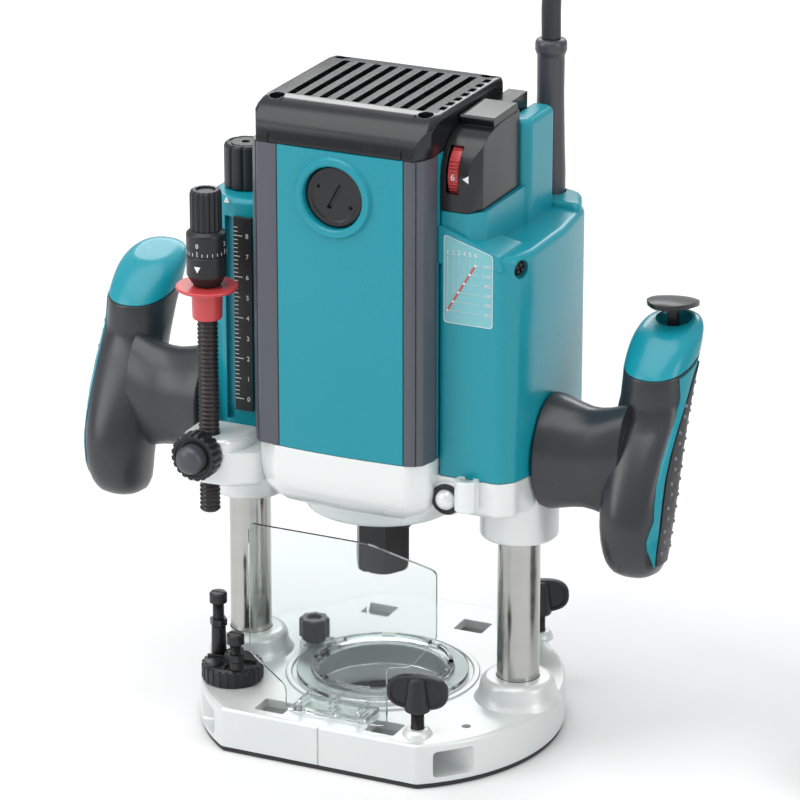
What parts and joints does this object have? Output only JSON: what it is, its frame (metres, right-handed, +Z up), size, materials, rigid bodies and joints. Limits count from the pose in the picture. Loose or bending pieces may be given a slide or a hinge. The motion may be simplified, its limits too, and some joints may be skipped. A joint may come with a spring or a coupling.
{
  "type": "plunge router",
  "caption": "Two-handled plunge router: motor unit sliding on twin posts above a round base, with turret depth stop, speed dial, clear chip shield and coiled mains cord.",
  "frame": {"origin": "centre of the part's footprint (cord left out) at the underside of the base", "axes": "+Z up along the spindle, -Y the side the base's flat edge faces, +X towards the switch side"},
  "size_m": [0.4722, 0.1987, 0.425],
  "materials": {
    "teal_plastic": "teal painted nylon, satin gloss with fine texture",
    "black_plastic": "black glass-filled nylon, fine spark texture",
    "grey_elastomer": "dark grey soft overmould, satin",
    "cast_aluminium": "die-cast aluminium, silver paint",
    "steel": "ground steel",
    "black_steel": "blackened steel",
    "clear_plastic": "clear polycarbonate",
    "red_plastic": "red plastic, satin",
    "copper": "copper bars",
    "lamination": "stacked electrical steel",
    "carbon": "pressed carbon",
    "bronze": "sintered bronze",
    "cord_rubber": "black rubber sheath"
  },
  "bodies": {
    "base": {"base_plate": "black_plastic", "base_casting": "cast_aluminium", "left_post": "steel", "right_post": "steel", "chip_deflector": "clear_plastic", "dust_nozzle": "clear_plastic", "left_plunge_spring": "steel", "right_plunge_spring": "steel", "power_cord": "cord_rubber", "cord_coil": "cord_rubber", "cord_tail": "cord_rubber", "plug": "cord_rubber"},
    "motor_unit": {"bracket_casting": "cast_aluminium", "left_bush": "bronze", "right_bush": "bronze", "bearing_flange": "cast_aluminium", "motor_housing": "teal_plastic", "left_corner_strip": "grey_elastomer", "right_corner_strip": "grey_elastomer", "front_brush_cap": "black_plastic", "rear_brush_cap": "black_plastic", "carbon_front_brush": "carbon", "carbon_rear_brush": "carbon", "right_side_cover": "teal_plastic", "left_side_cover": "teal_plastic", "depth_scale": "black_plastic", "top_cap": "black_plastic", "dial_hood": "black_plastic", "lower_bearing": "steel", "upper_bearing": "steel", "stator_core": "lamination", "speed_controller": "black_plastic", "left_handle": "grey_elastomer", "left_handle_cap": "teal_plastic", "right_handle": "grey_elastomer", "right_handle_cap": "teal_plastic", "cord_guard": "black_plastic"},
    "spindle": {"spindle_shaft": "steel", "rotor_core": "lamination", "commutator": "copper", "cooling_fan": "black_plastic"},
    "collet_nut_body": {"collet_nut": "black_steel", "collet_cone": "steel"},
    "turret": {"stop_turret": "black_plastic", "tall_stop_bolt": "black_steel", "short_stop_bolt": "black_steel"},
    "front_wing": {"front_wing_bolt": "black_steel"},
    "rear_wing": {"rear_wing_bolt": "black_steel"},
    "nozzle_screw": {"nozzle_thumb_screw": "black_plastic"},
    "pole": {"stopper_pole": "black_steel"},
    "pole_knob": {"depth_adjusting_knob": "black_plastic"},
    "pointer": {"depth_pointer": "red_plastic"},
    "setting_nut": {"pole_setting_nut": "black_plastic"},
    "feed_button": {"fast_feed_button": "black_plastic"},
    "height_knob": {"height_stop_knob": "black_plastic"},
    "dial": {"speed_dial": "red_plastic"},
    "trigger_body": {"trigger": "black_plastic"},
    "thumb_lever": {"lock_off_lever": "black_plastic"},
    "lock_button": {"shaft_lock_button": "steel"},
    "lock_lever": {"plunge_lock_lever": "black_plastic"}
  },
  "joints": [
    {"name": "plunge", "type": "slide", "parent": "base", "child": "motor_unit", "axis": [0, 0, -1], "range_m": [0, 0.07], "stiffness_N_per_m": 400, "springref_m": -0.16, "deforming": ["left_plunge_spring", "right_plunge_spring"]},
    {"name": "spindle_spin", "type": "hinge", "parent": "motor_unit", "child": "spindle", "pos_m": [0, -0.011, 0.18], "axis": [0, 0, 1], "continuous": true},
    {"name": "collet_nut_turn", "type": "hinge", "parent": "spindle", "child": "collet_nut_body", "pos_m": [0, -0.011, 0.087], "axis": [0, 0, 1], "continuous": true},
    {"name": "turret_turn", "type": "hinge", "parent": "base", "child": "turret", "pos_m": [-0.0615, -0.048, 0.026], "axis": [0, 0, 1], "continuous": true},
    {"name": "front_wing_turn", "type": "hinge", "parent": "base", "child": "front_wing", "pos_m": [0.045, -0.069, 0.03], "axis": [0, 0, 1], "continuous": true},
    {"name": "rear_wing_turn", "type": "hinge", "parent": "base", "child": "rear_wing", "pos_m": [0.05, 0.06, 0.03], "axis": [0, 0, 1], "continuous": true},
    {"name": "nozzle_screw_turn", "type": "hinge", "parent": "base", "child": "nozzle_screw", "pos_m": [-0.043, 0.003, 0.03], "axis": [0, 0, 1], "continuous": true},
    {"name": "pole_slide", "type": "slide", "parent": "motor_unit", "child": "pole", "axis": [0, 0, 1], "range_m": [-0.03, 0.02]},
    {"name": "depth_knob_turn", "type": "hinge", "parent": "pole", "child": "pole_knob", "pos_m": [-0.06792, -0.05593, 0.24], "axis": [0, 0, 1], "continuous": true},
    {"name": "pointer_slide", "type": "slide", "parent": "pole", "child": "pointer", "axis": [0, 0, 1], "range_m": [-0.02, 0]},
    {"name": "setting_nut_turn", "type": "hinge", "parent": "motor_unit", "child": "setting_nut", "pos_m": [-0.06792, -0.068, 0.141], "axis": [0, -1, 0], "continuous": true},
    {"name": "feed_button_press", "type": "slide", "parent": "setting_nut", "child": "feed_button", "axis": [0, 1, 0], "range_m": [0, 0.002], "stiffness_N_per_m": 400},
    {"name": "height_knob_turn", "type": "hinge", "parent": "motor_unit", "child": "height_knob", "pos_m": [-0.07, -0.011, 0.265], "axis": [0, 0, 1], "continuous": true},
    {"name": "dial_turn", "type": "hinge", "parent": "motor_unit", "child": "dial", "pos_m": [0.0498, -0.0285, 0.284], "axis": [1, 0, 0], "range_deg": [0, 250]},
    {"name": "trigger_squeeze", "type": "hinge", "parent": "motor_unit", "child": "trigger_body", "pos_m": [0.131, 0.007, 0.176], "axis": [-1, 0, 0], "range_deg": [0, 6], "stiffness_Nm_per_rad": 1},
    {"name": "thumb_lever_press", "type": "slide", "parent": "motor_unit", "child": "thumb_lever", "axis": [0, 0, -1], "range_m": [0, 0.0015], "stiffness_N_per_m": 400},
    {"name": "shaft_lock_press", "type": "slide", "parent": "motor_unit", "child": "lock_button", "axis": [0, 1, 0], "range_m": [0, 0.003], "stiffness_N_per_m": 600},
    {"name": "plunge_lock_turn", "type": "hinge", "parent": "motor_unit", "child": "lock_lever", "pos_m": [-0.068, 0.015, 0.13], "axis": [0, 1, 0], "range_deg": [0, 25]}
  ]
}
